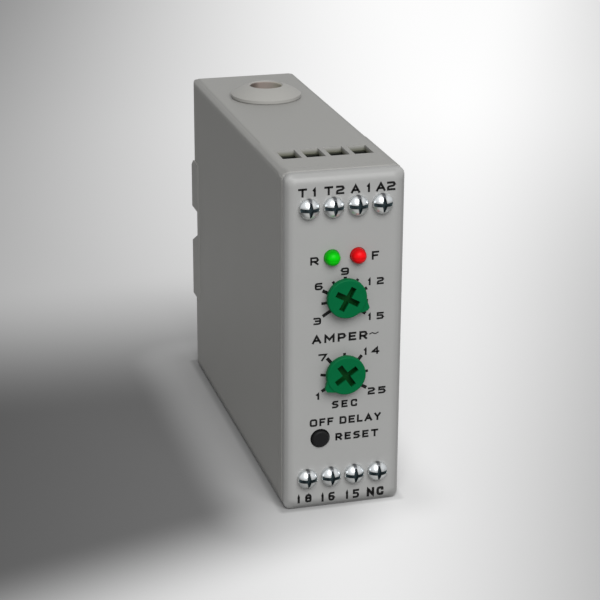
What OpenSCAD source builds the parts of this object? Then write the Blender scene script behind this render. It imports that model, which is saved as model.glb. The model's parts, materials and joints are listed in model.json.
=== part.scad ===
// Single-phase overcurrent relay in a slim moulded case, with a cable window from top to bottom.
// Modules are drawn with the panel's face at y = 0, the rear at +y and +z up.

/* [Case] */
// Height of the front panel, bottom to top
panel_h = 74.6; // [72:0.2:100]
// Depth from the panel's face to the rear wall's outer face
case_d = 86; // [84:1:120]
// Thickness of the case's side walls
side_wall = 2; // [1.2:0.1:2.4]
// Thickness of the case's top, bottom and rear walls
case_wall = 1.2; // [1:0.1:3]
// Radius of the case's long edges
case_edge_r = 0.9; // [0.3:0.1:1.6]
// How far the case stands back from the panel's edge, each way
case_step = 0.15; // [0.1:0.05:0.5]
// Length of the raised rim behind the panel
rim_l = 4.7; // [3:0.1:7]
// Where the lowered strips along the top edges begin
strip_y = 25.4; // [20:0.2:40]
// Width of the lowered strips
strip_w = 1.3; // [1.2:0.1:1.8]
// Depth of the lowered strips
strip_drop = 0.15; // [0.1:0.05:0.3]

/* [Front panel] */
// Thickness of the panel
panel_t = 2.4; // [2:0.1:4]
// Radius round the panel's front edges
panel_edge_r = 1; // [0.8:0.1:1.3]
// Radius of the panel's corners, seen from the front
panel_corner_r = 1.6; // [1.4:0.1:3]
// Length of the snap tongues behind the panel
tongue_l = 7; // [5:0.5:9]
// Width of the snap tongues
tongue_w = 5; // [3:0.5:7]
// Thickness of the snap tongues
tongue_t = 1; // [0.8:0.1:1.4]
// How far the snap hooks reach into the case's walls
hook_d = 0.6; // [0.4:0.1:0.8]

/* [Rear shoe] */
// Height of the shoe from foot to foot
shoe_h = 35; // [30:0.5:45]
// How far the feet stand out from the rear wall
shoe_out = 2.4; // [1:0.1:5]
// How far the shoe reaches forward of the rear wall's outer face
shoe_in = 6.5; // [6:0.1:8]
// Height of the groove between the feet, at its floor
groove_h = 6; // [4.5:0.5:9]
// How far the groove's floor lies forward of the rear wall's outer face
groove_in = 3.8; // [2:0.1:4.5]
// How far the groove's middle lies above the shoe's middle
groove_rise = 2.4; // [0:0.2:4]
// How far the feet stand out past the case's sides
shoe_side = 0.35; // [0.1:0.05:0.6]

/* [Cable window] */
// Diameter of the hole for the cable
cable_d = 7.2; // [5:0.1:9]
// Wall of the bush's tube
bush_wall = 1.2; // [0.8:0.1:1.5]
// Diameter of the bush's domed flange
flange_d = 16.2; // [14:0.2:20]
// Height of the flange's rim
flange_rim = 0.9; // [0.5:0.1:1.5]
// Height of the dome above the case
dome_h = 2.9; // [2:0.1:4]
// Distance of the window's axis from the rear wall's outer face
window_rear = 21.5; // [20:0.5:24]

/* [Terminals] */
// Distance from one pole to the next
pole_pitch = 5.2; // [5:0.05:7.5]
// Distance of the screws from the panel's top and bottom edges
screw_edge = 7.2; // [6.6:0.1:9]
// Diameter of the clamp screws' shanks
screw_d = 3; // [2.5:0.1:3.2]
// Diameter of the clamp screws' heads
head_d = 4.2; // [4:0.1:4.8]
// Height of the clamp screws' heads
head_h = 2.1; // [1.6:0.1:2.4]
// How far a cage rises from open to closed
cage_travel = 3; // [2:0.1:4]
// Height of a cage along the wire
cage_h = 6; // [5:0.1:6.4]
// Length of a wire window along the case
wire_window_l = 6.4; // [4:0.2:7]
// Width of a wire window
wire_window_w = 4.1; // [3:0.1:4.4]

/* [Controls] */
// Distance of the lamps from the panel's top edge
led_drop = 18.1; // [17.5:0.1:19]
// Distance from one lamp's axis to the other's
led_spacing = 5.6; // [5:0.1:8]
// Diameter of a lamp's lens
led_d = 3.3; // [3:0.1:3.6]
// How far a lamp's dome stands out of the panel
led_out = 2.2; // [1.2:0.1:2.5]
// Height of the range knob, as a share of the way from the reset button up to the lamps
range_share = 0.787; // [0.77:0.001:0.8]
// Height of the delay knob, as a share of the way from the reset button up to the lamps
delay_share = 0.364; // [0.33:0.001:0.4]
// Diameter of a knob
knob_d = 8.5; // [7:0.1:9]
// Height of a knob, from its hub's foot to its face
knob_h = 2.2; // [2:0.1:4]
// Reach of a knob's pointer from its axis
pointer_r = 5.3; // [4.9:0.1:5.6]
// Where the range knob points, counted anticlockwise from the right
range_angle = -29; // [-37:1:217]
// Where the delay knob points, counted anticlockwise from the right
delay_angle = 215; // [-37:1:217]
// Diameter of a knob's shaft
shaft_d = 4; // [3:0.1:4.5]
// Width and height of a potentiometer
pot_w = 9.6; // [8:0.1:11]
// Depth of a potentiometer's body
pot_t = 5; // [4:0.1:6]
// Distance of the reset button from the panel's bottom edge
reset_rise = 16.15; // [15.5:0.05:18]
// Distance of the reset button to the left of the middle
reset_left = 4.95; // [4.5:0.05:6]
// Diameter of the reset button
button_d = 3.7; // [3.5:0.1:4.4]
// How far the reset button stands out of the panel
button_out = 0.7; // [0.7:0.1:2]
// Travel of the reset button
button_travel = 0.5; // [0.3:0.1:0.7]

/* [Boards] */
// Thickness of the printed boards
board_t = 1.6; // [1:0.1:2]
// Gap between the main board and the left wall
board_gap = 1.4; // [1.2:0.1:3]
// Height of the current transformer
ct_h = 12; // [8:0.5:20]
// Height of the seat under the current transformer
ct_seat_h = 3; // [1:0.5:8]

/* [Hidden] */
$fn = 64;

// Clearances: pieces that stay together, pieces that turn in a fit, pieces that pass each other
fit_gap = 0.1;
turn_gap = 0.05;
run_gap = 0.3;

// The terminals set the width: poles side by side, then the walls
poles = 4;
row_w = poles * pole_pitch;
inner_w = row_w + 4 * fit_gap;
case_w = inner_w + 2 * side_wall;
panel_w = case_w + 2 * case_step;
case_z0 = case_step;
case_z1 = panel_h - case_step;
inner_z0 = case_z0 + case_wall;
inner_z1 = case_z1 - case_wall;
case_y0 = panel_t + fit_gap;
inner_y1 = case_d - case_wall;
rim_y1 = case_y0 + rim_l;
rim_bevel = 0.25;
rear_bevel = 0.3;
rim_sink = 0.15;
edge_step = 6;
slice = 0.01;
cut_past = 1;
tongue_rise = 17;

// Shoe
shoe_mid = panel_h / 2 - 0.75;
shoe_z0 = shoe_mid - shoe_h / 2;
shoe_z1 = shoe_mid + shoe_h / 2;
shoe_y0 = case_d - shoe_in;
shoe_y1 = case_d + shoe_out;
shoe_corner = 0.6;
groove_z0 = shoe_mid + groove_rise - groove_h / 2;
groove_z1 = groove_z0 + groove_h;
shoe_top_ramp = 2;
groove_ramp = 3.2;
shoe_wall = 2;
shoe_bevel = 2.5;

// Cable window and current transformer
window_y = case_d - window_rear;
bush_r = cable_d / 2 + bush_wall;
bush_lip = 0.4;
flange_gap = 0.25;
ct_outer_r = inner_w / 2 - 2 * run_gap;
ct_inner_r = bush_r + run_gap;
ct_wind_t = 1.1;
ct_z0 = inner_z0 + ct_seat_h;
ct_gap_angle = 40;
ct_wire_d = 0.7;
ct_wire_spread = 4;
ct_wire_l = 4;

// Clamps, from the panel back to the front board
block_y0 = panel_t + fit_gap;
block_front = 3.6;
chamber_y0 = block_y0 + block_front;
cage_w = pole_pitch - 1.2;
cage_side = 0.5;
cage_front = 2;
cage_back = 1;
cage_y0 = chamber_y0 + run_gap + cage_travel;
bar_t = 1;
bar_lead = 1.4;
bar_y0 = cage_y0 + cage_front + bar_lead;
bar_y1 = bar_y0 + bar_t;
thinnest_wire = 0.8;
wire_gap = cage_travel + thinnest_wire;
cage_y1 = bar_y1 + wire_gap + cage_back;
chamber_y1 = cage_y1 + run_gap;
block_back = 1.8;
block_y1 = chamber_y1 + block_back;
chamber_w = cage_w + 0.5;
bar_w = cage_w - 2 * cage_side - 0.4;
screw_z = panel_h - screw_edge;
chamber_z0 = screw_z - cage_h / 2 - run_gap;
bar_z0 = chamber_z0 - bar_t;
block_floor = 1.3;
block_z0 = bar_z0 - block_floor;
block_z1 = inner_z1 - fit_gap;
bar_top = 0.5;
pin_w = 1;
pin_out = 1.5;
wire_window_y = (bar_y0 + cage_y1) / 2;
slot_w = 0.75;
slot_depth = 1.3;
cross_l = 3.2;
cross_w = 1.1;
cross_tip = 0.3;
head_rim = 0.9;

// Front board and what stands on it
front_board_y = block_y1;
front_board_back = front_board_y + board_t;
pot_y = front_board_y - pot_t;
shaft_end_gap = 1;
led_flange_d = led_d + 0.6;
led_flange_t = 1;
led_flange_y = panel_t + fit_gap;
lead_d = 0.6;
lead_pitch = 2;
led_z = panel_h - led_drop;
range_z = reset_rise + range_share * (led_z - reset_rise);
delay_z = reset_rise + delay_share * (led_z - reset_rise);
knob_disc = 1.2;
knob_round = 0.35;
hub_d = 0.76 * knob_d;
knob_slot_l = 5.5;
knob_slot_w = 1.25;
knob_slot_depth = 1.4;
// The pointer's sides run from its tip to a circle just inside the disc, and touch it
pointer_tip = 0.7;
pointer_drop = 0.2;
pointer_grip = knob_d / 2 - 0.4;
pointer_turn = atan2(pointer_tip / 2, pointer_r) + acos(pointer_grip / norm([pointer_r, pointer_tip / 2]));
switch_w = 6;
switch_t = 3.6;
switch_y = front_board_y - switch_t;
stem_d = button_d - 0.4;
stem_depth = 1.2;
button_round = 0.5;

// Main board and what stands on it
main_x0 = -inner_w / 2 + board_gap;
main_x1 = main_x0 + board_t;
board_clear = 2;
main_y0 = front_board_back + board_clear;
main_y1 = window_y - ct_outer_r - 2 * run_gap;
guide_t = 1;
guide_h = 1.6;
main_z0 = inner_z0 + fit_gap;
main_z1 = inner_z1 - fit_gap;
main_l = main_y1 - main_y0;
main_h = main_z1 - main_z0;
header_pins_n = 8;
header_pitch = 2.54;
header_w = 2.5;
clear_header = header_w + 1;
header_pin_w = 0.64;
header_y = main_y0 + header_w / 2;
header_x = main_x1 + header_w / 2;
pin_left = 0.8;
pin_seat = 0.8;
wire_pin_d = 0.7;
relay_size = [15.4, 19, 15.4];
film_size = [13, 18, 7];
can_d = 10;
chip_size = [3.2, 19, 6.4];
// The pieces stand one above the other, with the same gap between them all
part_gap = (main_h - 2 * guide_h - can_d - film_size[2] - relay_size[2] - chip_size[2]) / 5;
can_at = [main_l / 2, guide_h + part_gap + can_d / 2];
film_at = [clear_header, can_at[1] + can_d / 2 + part_gap];
relay_at = [clear_header, film_at[1] + film_size[2] + part_gap];
chip_at = [(main_l - chip_size[1]) / 2, relay_at[1] + relay_size[2] + part_gap];
relay_round = 0.8;
relay_pin_d = 1;
relay_pins = [[1.7, 7.7], [3.7, 1.7], [3.7, 13.7], [15.9, 1.7], [15.9, 13.7]];
film_round = 1;
film_pins = [[1.5, film_size[2] / 2], [film_size[1] - 1.5, film_size[2] / 2]];
can_l = 15;
can_round = 0.6;
can_groove_z = 2.2;
can_groove_r = 0.5;
can_pins = [[-2.5, 0], [2.5, 0]];
chip_stand = 0.5;
chip_notch_r = 1;
chip_pin_d = 0.6;
chip_leg_pitch = 2.54;
chip_pins = [for (n = [-3:3], row = [0.6, chip_size[2] - 0.6]) [chip_size[1] / 2 + n * chip_leg_pitch, row]];

// Middle of the whole part, front to rear
knob_front = -run_gap - knob_h;
mid_y = (knob_front + case_d + shoe_out) / 2;

case_grey = [0.72, 0.72, 0.70];
panel_grey = [0.75, 0.75, 0.74];
knob_green = [0.02, 0.42, 0.24];
board_green = [0.10, 0.33, 0.20];
steel = [0.75, 0.76, 0.78];
copper = [0.80, 0.50, 0.30];
black = [0.06, 0.06, 0.06];

// Puts the origin under the middle of the part's box
module place() translate([0, -mid_y, 0]) children();

// Extrudes a shape drawn in x and z from y0 back to y1
module along_y(y0, y1) translate([0, y1, 0]) rotate([90, 0, 0]) linear_extrude(y1 - y0) children();

// Extrudes a shape drawn in y and z across the part, w wide
module across_x(w) rotate([90, 0, 90]) translate([0, 0, -w / 2]) linear_extrude(w) children();

// Turns children so that their +z points out of the panel
module facing_front(x, y, z) translate([x, y, z]) rotate([90, 0, 0]) children();

// A round bar along y
module bar_y(x, z, y0, y1, d) facing_front(x, y1, z) cylinder(d = d, h = y1 - y0);

// Mirrors a piece of the top row down to the bottom row
module to_bottom_row() translate([0, 0, panel_h]) mirror([0, 0, 1]) children();

// A rectangle with round corners, centred in x
module round_slab(w, z0, z1, r) {
    translate([-w / 2 + r, z0]) square([w - 2 * r, z1 - z0]);
    translate([-w / 2, z0 + r]) square([w, z1 - z0 - 2 * r]);
    for (x = [-w / 2 + r, w / 2 - r], z = [z0 + r, z1 - r])
        translate([x, z]) circle(r);
}

// A thin slice of the panel's outline, drawn in by inset
module outline_slice(y, inset, r)
    along_y(y, y + slice) round_slab(panel_w - 2 * inset, inset, panel_h - inset, r - inset, $fn = 32);

function pole_x(i) = ((i - 1) % poles - (poles - 1) / 2) * pole_pitch;
function is_top(i) = i <= poles;

module front_panel() color(panel_grey) {
    difference() {
        hull() {
            for (a = [0:edge_step:90])
                outline_slice(panel_edge_r * (1 - sin(a)), panel_edge_r * (1 - cos(a)), panel_corner_r);
            outline_slice(panel_t - slice, case_step, panel_corner_r);
        }
        for (i = [1:poles], z = [screw_edge, screw_z])
            bar_y(pole_x(i), z, -1, panel_t + 1, screw_d + 2 * run_gap);
        for (side = [-1, 1])
            bar_y(side * led_spacing / 2, led_z, -1, panel_t + 1, led_d + 2 * fit_gap);
        for (z = [range_z, delay_z])
            bar_y(0, z, -1, panel_t + 1, shaft_d + 2 * run_gap);
        bar_y(-reset_left, reset_rise, -1, panel_t + 1, button_d + 2 * run_gap);
    }
    for (side = [-1, 1], rise = [-tongue_rise, tongue_rise])
        snap_tongue(side, panel_h / 2 + rise);
}

// A springy tongue behind the panel, with a hook that catches in the case's wall
module snap_tongue(side, z) {
    outer_x = inner_w / 2 - fit_gap;
    tip_y = panel_t + tongue_l;
    translate([0, 0, z - tongue_w / 2]) mirror([side < 0 ? 1 : 0, 0, 0]) linear_extrude(tongue_w)
        polygon([[outer_x - tongue_t, panel_t - 0.2], [outer_x, panel_t - 0.2], [outer_x, tip_y - 2 * hook_d],
                 [outer_x + hook_d, tip_y - 2 * hook_d], [outer_x, tip_y], [outer_x - tongue_t, tip_y]]);
}

module main_case() color(case_grey) difference() {
    union() {
        difference() {
            case_outside();
            along_y(case_y0 - 1, inner_y1)
                translate([-inner_w / 2, inner_z0]) square([inner_w, inner_z1 - inner_z0]);
        }
        rear_shoe();
        board_guides();
        translate([0, window_y, inner_z0 - 0.2]) cylinder(r = ct_outer_r - ct_wind_t, h = ct_seat_h + 0.2);
    }
    for (i = [1:poles], z = [inner_z0 - case_wall / 2, inner_z1 + case_wall / 2])
        translate([pole_x(i), wire_window_y, z])
            cube([wire_window_w, wire_window_l, 2 * case_wall], center = true);
    translate([0, window_y, -cut_past]) cylinder(r = bush_r + fit_gap, h = panel_h + 2 * cut_past);
    for (side = [-1, 1], rise = [-tongue_rise, tongue_rise])
        hook_pocket(side, panel_h / 2 + rise);
    groove();
    foot_hollow(shoe_z0 + shoe_wall, groove_z0 - groove_ramp - shoe_wall);
    foot_hollow(groove_z1 + shoe_wall, shoe_z1 - shoe_top_ramp - shoe_wall);
}

// The raised rim, then the long walls with their lowered strips and a bevelled rear edge
module case_outside() {
    rim_mid = case_y0 + rim_l / 2;
    flat_x = case_w / 2 - strip_w;
    slope = 2 * strip_drop;
    outside = -1;
    intersection() {
        along_y(case_y0, rim_y1) round_slab(panel_w, 0, panel_h, panel_corner_r);
        inside_profile([[case_y0, rim_bevel], [case_y0 + rim_bevel, 0],
                        [rim_mid, 0], [rim_y1, case_step + rim_sink]]);
    }
    intersection() {
        union() {
            along_y(case_y0 + rim_bevel, strip_y) round_slab(case_w, case_z0, case_z1, case_edge_r);
            along_y(rim_mid, case_d) {
                round_slab(case_w, case_z0 + strip_drop, case_z1 - strip_drop, case_edge_r);
                for (turned = [0, 1]) translate([0, turned * panel_h]) mirror([0, turned])
                    polygon([[-flat_x - slope, panel_h / 2], [-flat_x - slope, case_z1 - strip_drop],
                             [-flat_x, case_z1], [flat_x, case_z1],
                             [flat_x + slope, case_z1 - strip_drop], [flat_x + slope, panel_h / 2]]);
            }
        }
        inside_profile([[0, outside], [case_d - rear_bevel - case_step + outside, outside],
                        [case_d, case_step + rear_bevel]]);
    }
}

// All that lies inside a profile on the four long sides; a point is [y, inset from the panel's outline]
module inside_profile(points) {
    back = [for (n = [len(points) - 1:-1:0]) points[n]];
    intersection() {
        across_x(2 * panel_w)
            polygon(concat(points, [for (p = back) [p[0], panel_h - p[1]]]));
        translate([0, 0, -panel_h / 2]) linear_extrude(2 * panel_h)
            polygon(concat([for (p = points) [p[1] - panel_w / 2, p[0]]],
                           [for (p = back) [panel_w / 2 - p[1], p[0]]]));
    }
}

// A block across the rear, which the groove parts into two feet
module rear_shoe() {
    side_x = case_w / 2 + shoe_side;
    root_x = case_w / 2 - shoe_corner;
    intersection() {
        across_x(2 * side_x)
            polygon([[shoe_y0, shoe_z0], [shoe_y1 - shoe_corner, shoe_z0], [shoe_y1, shoe_z0 + shoe_corner],
                     [shoe_y1, shoe_z1 - shoe_top_ramp], [case_d, shoe_z1], [shoe_y0, shoe_z1]]);
        translate([0, 0, shoe_z0 - 1]) linear_extrude(shoe_h + 2)
            polygon([[-root_x, shoe_y0], [root_x, shoe_y0], [side_x, shoe_y0 + shoe_bevel],
                     [side_x, shoe_y1 - shoe_corner], [side_x - shoe_corner, shoe_y1],
                     [shoe_corner - side_x, shoe_y1], [-side_x, shoe_y1 - shoe_corner],
                     [-side_x, shoe_y0 + shoe_bevel]]);
    }
}

// The cut between the feet: square above, with a ramp below
module groove() {
    floor_y = case_d - groove_in;
    ramp_slope = groove_ramp / (shoe_y1 - floor_y);
    across_x(2 * panel_w)
        polygon([[floor_y, groove_z0], [shoe_y1 + cut_past, groove_z0 - groove_ramp - cut_past * ramp_slope],
                 [shoe_y1 + cut_past, groove_z1], [floor_y, groove_z1]]);
}

// The hollow moulded into a foot from inside the case
module foot_hollow(z0, z1)
    translate([-inner_w / 2, shoe_y0 - 1, z0])
        cube([inner_w, shoe_y1 - shoe_wall - shoe_y0 + 1, z1 - z0]);

// Pairs of ribs that hold the main board's edges
module board_guides()
    for (x = [main_x0 - fit_gap - guide_t, main_x1 + fit_gap], z = [inner_z0 - 0.2, inner_z1 - guide_h])
        translate([x, main_y0 + header_w, z])
            cube([guide_t, main_y1 - main_y0 - header_w, guide_h + 0.2]);

// The blind pocket that a snap hook catches in
module hook_pocket(side, z) {
    tip_y = panel_t + tongue_l;
    depth = hook_d + fit_gap;
    x = side * (inner_w / 2 + (depth - 1) / 2);
    translate([x, tip_y - hook_d, z])
        cube([depth + 1, 2 * hook_d + 2 * fit_gap, tongue_w + 2 * fit_gap], center = true);
}

module cable_bush() color(case_grey) difference() {
    dome_r = flange_d / 2;
    lip_r = cable_d / 2 + bush_lip;
    // The ball that passes through the flange's rim and the lip of the hole
    ball_z = (pow(lip_r, 2) - pow(dome_r, 2) + pow(dome_h, 2) - pow(flange_rim, 2))
        / (2 * (dome_h - flange_rim));
    ball_r = sqrt(pow(dome_r, 2) + pow(flange_rim - ball_z, 2));
    translate([0, window_y, 0]) union() {
        translate([0, 0, case_z0]) cylinder(r = bush_r, h = case_z1 - case_z0 + flange_rim);
        translate([0, 0, case_z1]) cylinder(r = dome_r - flange_gap, h = flange_gap + slice);
        translate([0, 0, case_z1]) intersection() {
            translate([0, 0, flange_gap]) cylinder(r = dome_r, h = dome_h - flange_gap);
            translate([0, 0, ball_z]) sphere(ball_r, $fn = 96);
        }
    }
    translate([0, window_y, -cut_past]) cylinder(d = cable_d, h = panel_h + dome_h + 2 * cut_past);
    translate([0, window_y, case_z1 + dome_h - bush_lip])
        cylinder(r1 = cable_d / 2, r2 = cable_d / 2 + 2 * bush_lip, h = 2 * bush_lip);
}

module terminal_block() color(board_green) difference() {
    translate([-row_w / 2, block_y0, block_z0]) cube([row_w, block_y1 - block_y0, block_z1 - block_z0]);
    for (i = [1:poles]) translate([pole_x(i), 0, 0]) {
        translate([-chamber_w / 2, chamber_y0, chamber_z0])
            cube([chamber_w, chamber_y1 - chamber_y0, block_z1 - chamber_z0 + 1]);
        translate([-bar_w / 2 - fit_gap, bar_y0 - fit_gap, bar_z0])
            cube([bar_w + 2 * fit_gap, chamber_y1 - bar_y0 + fit_gap, bar_t + 1]);
        translate([-pin_w / 2 - fit_gap, chamber_y1 - 1, bar_z0])
            cube([pin_w + 2 * fit_gap, block_back + 2, bar_t + fit_gap]);
        bar_y(0, screw_z, block_y0 - 1, chamber_y0 + 1, screw_d + 2 * run_gap);
    }
}

module terminal_block_top() terminal_block();
module terminal_block_bottom() to_bottom_row() terminal_block();

// Upright bar in front of the wire, with a foot that runs back to its pin in the board
module contact_bars() color(copper) for (i = [1:poles]) translate([pole_x(i), 0, 0]) {
    translate([-bar_w / 2, bar_y0, bar_z0]) cube([bar_w, bar_t, screw_z + cage_h / 2 + bar_top - bar_z0]);
    translate([-bar_w / 2, bar_y0, bar_z0]) cube([bar_w, chamber_y1 - bar_y0, bar_t]);
    translate([-pin_w / 2, chamber_y1 - 0.2, bar_z0])
        cube([pin_w, front_board_back + pin_out - chamber_y1 + 0.2, bar_t]);
}

module contact_bars_top() contact_bars();
module contact_bars_bottom() to_bottom_row() contact_bars();

module screw_at(i) translate([pole_x(i), 0, is_top(i) ? screw_z : screw_edge]) children();

module clamp_screw(i) color(steel) screw_at(i) {
    ball_r = (pow(head_d / 2, 2) + pow(head_h - head_rim, 2)) / (2 * (head_h - head_rim));
    facing_front(0, -turn_gap, 0) difference() {
        intersection() {
            cylinder(d = head_d, h = head_h);
            translate([0, 0, head_h - ball_r]) sphere(ball_r);
        }
        translate([0, 0, head_h - slot_depth / 2 + cut_past])
            cube([head_d + cut_past, slot_w, slot_depth + 2 * cut_past], center = true);
        translate([0, 0, head_h - slot_depth]) linear_extrude(slot_depth + cut_past)
            polygon([[-cross_tip / 2, -cross_l / 2], [cross_tip / 2, -cross_l / 2], [cross_w / 2, 0],
                     [cross_tip / 2, cross_l / 2], [-cross_tip / 2, cross_l / 2], [-cross_w / 2, 0]]);
    }
    bar_y(0, 0, -turn_gap - slice, bar_y0 - turn_gap, screw_d);
}

// A steel loop round the contact bar: the screw is threaded through its front wall
module clamp_cage(i) color(steel) screw_at(i) difference() {
    translate([-cage_w / 2, cage_y0, -cage_h / 2]) cube([cage_w, cage_y1 - cage_y0, cage_h]);
    translate([-cage_w / 2 + cage_side, cage_y0 + cage_front, -cage_h])
        cube([cage_w - 2 * cage_side, cage_y1 - cage_back - cage_y0 - cage_front, 2 * cage_h]);
    bar_y(0, 0, cage_y0 - 1, cage_y0 + cage_front + 1, screw_d + 2 * turn_gap);
}

module front_board() color(board_green) difference() {
    translate([-row_w / 2, front_board_y, inner_z0 + fit_gap])
        cube([row_w, board_t, inner_z1 - inner_z0 - 2 * fit_gap]);
    for (i = [1:poles], z = [bar_z0 + bar_t / 2, panel_h - bar_z0 - bar_t / 2])
        board_hole(pole_x(i), z, 1.5 * pin_w + 2 * fit_gap);
    for (side = [-1, 1], lead = [-1, 1])
        board_hole(side * led_spacing / 2, led_z + lead * lead_pitch / 2, lead_d + 2 * fit_gap);
    for (z = [range_z, delay_z], n = [-1:1])
        board_hole(n * pot_w / 3, z - pot_w / 3, lead_d + 2 * fit_gap);
    for (x = [-1, 1], z = [-1, 1])
        board_hole(-reset_left + x * switch_w / 3, reset_rise + z * switch_w / 3, lead_d + 2 * fit_gap);
    for (n = [0:header_pins_n - 1])
        board_hole(header_x, header_z(n), 1.5 * header_pin_w + 2 * fit_gap);
}

module board_hole(x, z, d) bar_y(x, z, front_board_y - 1, front_board_back + 1, d);

// A square potentiometer with a round seat for the knob's shaft and three pins through the board
module pot(z) color([0.15, 0.25, 0.45]) {
    difference() {
        translate([-pot_w / 2, pot_y, z - pot_w / 2]) cube([pot_w, pot_t, pot_w]);
        bar_y(0, z, pot_y - 1, front_board_y - shaft_end_gap / 2, shaft_d + 2 * turn_gap);
    }
    for (n = [-1:1])
        bar_y(n * pot_w / 3, z - pot_w / 3, front_board_y - 0.2, front_board_back + pin_out, lead_d);
}

module range_pot() pot(range_z);
module delay_pot() pot(delay_z);

// A thin disc with a pointer and a cross slot, on a hub and a shaft that reaches back into the potentiometer
module knob(z, angle) color(knob_green) {
    root_x = pointer_grip * cos(pointer_turn);
    root_y = pointer_grip * sin(pointer_turn);
    facing_front(0, -run_gap, z) rotate([0, 0, angle]) difference() {
        union() {
            cylinder(d = hub_d, h = knob_h - knob_disc / 2);
            translate([0, 0, knob_h - knob_disc]) rounded_disc(knob_d / 2, knob_disc, knob_round);
            translate([0, 0, knob_h - knob_disc + pointer_drop]) linear_extrude(knob_disc - 2 * pointer_drop)
                polygon([[root_x, -root_y], [pointer_r, -pointer_tip / 2],
                         [pointer_r, pointer_tip / 2], [root_x, root_y]]);
        }
        for (turned = [0, 90]) rotate([0, 0, turned]) translate([0, 0, knob_h])
            cube([knob_slot_l, knob_slot_w, 2 * knob_slot_depth], center = true);
    }
    bar_y(0, z, -run_gap - knob_h / 4, front_board_y - shaft_end_gap, shaft_d);
}

// A turned disc with a round rim
module rounded_disc(r, h, rim) rotate_extrude() {
    square([r - rim, h]);
    square([r, h - rim]);
    translate([r - rim, h - rim]) circle(rim);
}

module range_knob() knob(range_z, range_angle);
module delay_knob() knob(delay_z, delay_angle);

// A bar with a round end under each lamp, drilled for the four leads
module led_spacer() color("white") along_y(led_flange_y + led_flange_t, front_board_y) difference() {
    union() {
        translate([-led_spacing / 2, led_z - led_flange_d / 2]) square([led_spacing, led_flange_d]);
        for (side = [-1, 1]) translate([side * led_spacing / 2, led_z]) circle(d = led_flange_d);
    }
    for (side = [-1, 1], lead = [-1, 1])
        translate([side * led_spacing / 2, led_z + lead * lead_pitch / 2]) circle(d = lead_d + 2 * fit_gap);
}

module led(side, tint) color(tint) {
    x = side * led_spacing / 2;
    bar_y(x, led_z, -led_out + led_d / 2, led_flange_y + slice, led_d);
    translate([x, -led_out + led_d / 2, led_z]) rotate([90, 0, 0]) sphere(d = led_d);
    bar_y(x, led_z, led_flange_y, led_flange_y + led_flange_t, led_flange_d);
    for (lead = [-1, 1])
        bar_y(x, led_z + lead * lead_pitch / 2,
              led_flange_y + led_flange_t - 0.2, front_board_back + pin_out, lead_d);
}

module green_led() led(-1, "lime");
module red_led() led(1, "red");

module tact_switch() color(black) {
    difference() {
        translate([-reset_left - switch_w / 2, switch_y, reset_rise - switch_w / 2])
            cube([switch_w, switch_t, switch_w]);
        bar_y(-reset_left, reset_rise, switch_y - 1, switch_y + stem_depth + button_travel + run_gap,
              stem_d + 2 * turn_gap);
    }
    for (x = [-1, 1], z = [-1, 1])
        bar_y(-reset_left + x * switch_w / 3, reset_rise + z * switch_w / 3,
              front_board_y - 0.2, front_board_back + pin_out, lead_d);
}

// A cap in the panel's hole on a long stem that runs in the switch
module reset_button() color(black) {
    cap_y1 = panel_t + 2;
    facing_front(-reset_left, cap_y1, reset_rise)
        rounded_disc(button_d / 2, cap_y1 + button_out, button_round);
    bar_y(-reset_left, reset_rise, cap_y1 - slice, switch_y + stem_depth, stem_d);
}

function header_z(n) = panel_h / 2 + (n - (header_pins_n - 1) / 2) * header_pitch;

module header_strip() color(black) difference() {
    translate([main_x1, main_y0, header_z(0) - header_pitch / 2])
        cube([header_w, header_w, header_pins_n * header_pitch]);
    for (n = [0:header_pins_n - 1])
        translate([header_x, 0, header_z(n)]) header_pin(2 * fit_gap);
}

module header_pins() color("gold")
    for (n = [0:header_pins_n - 1]) translate([header_x, 0, header_z(n)]) header_pin(0);

// An angled pin: back from the front board, then left through the main board
module header_pin(extra) {
    w = header_pin_w + extra;
    front = front_board_y - pin_out;
    left = main_x0 - board_gap / 2 - header_x;
    translate([-w / 2, front, -w / 2]) cube([w, header_y + w / 2 - front, w]);
    translate([left, header_y - w / 2, -w / 2]) cube([w / 2 - left, w, w]);
}

module main_board() color(board_green) difference() {
    translate([main_x0, main_y0, main_z0]) cube([board_t, main_y1 - main_y0, main_z1 - main_z0]);
    for (n = [0:header_pins_n - 1]) translate([header_x, 0, header_z(n)]) header_pin(2 * fit_gap);
    board_pins(relay_at, relay_pins, relay_pin_d + 2 * fit_gap);
    board_pins(film_at, film_pins, wire_pin_d + 2 * fit_gap);
    board_pins(can_at, can_pins, wire_pin_d + 2 * fit_gap);
    board_pins(chip_at, chip_pins, chip_pin_d + 2 * fit_gap);
}

// Moves to a place on the main board, given from its front and bottom edges
module on_board(at) translate([main_x1, main_y0 + at[0], main_z0 + at[1]]) children();

// Round pins through the main board, each at its own place on the piece that carries them
module board_pins(at, pins, d) on_board(at) for (pin = pins)
    translate([-board_t - pin_left, pin[0], pin[1]]) rotate([0, 90, 0])
        cylinder(d = d, h = board_t + pin_left + pin_seat);

module output_relay() color([0.15, 0.35, 0.65]) {
    on_board(relay_at) block(relay_size, relay_round);
    board_pins(relay_at, relay_pins, relay_pin_d);
}

module supply_capacitor() color([0.80, 0.65, 0.20]) {
    on_board(film_at) block(film_size, film_round);
    board_pins(film_at, film_pins, wire_pin_d);
}

// An upright can with a rolled groove near its foot
module filter_capacitor() color([0.12, 0.14, 0.25]) {
    on_board(can_at) rotate([0, 90, 0]) difference() {
        rounded_disc(can_d / 2, can_l, can_round);
        translate([0, 0, can_groove_z]) rotate_extrude()
            translate([can_d / 2 + can_groove_r / 2, 0]) circle(can_groove_r);
    }
    board_pins(can_at, can_pins, wire_pin_d);
}

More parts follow.
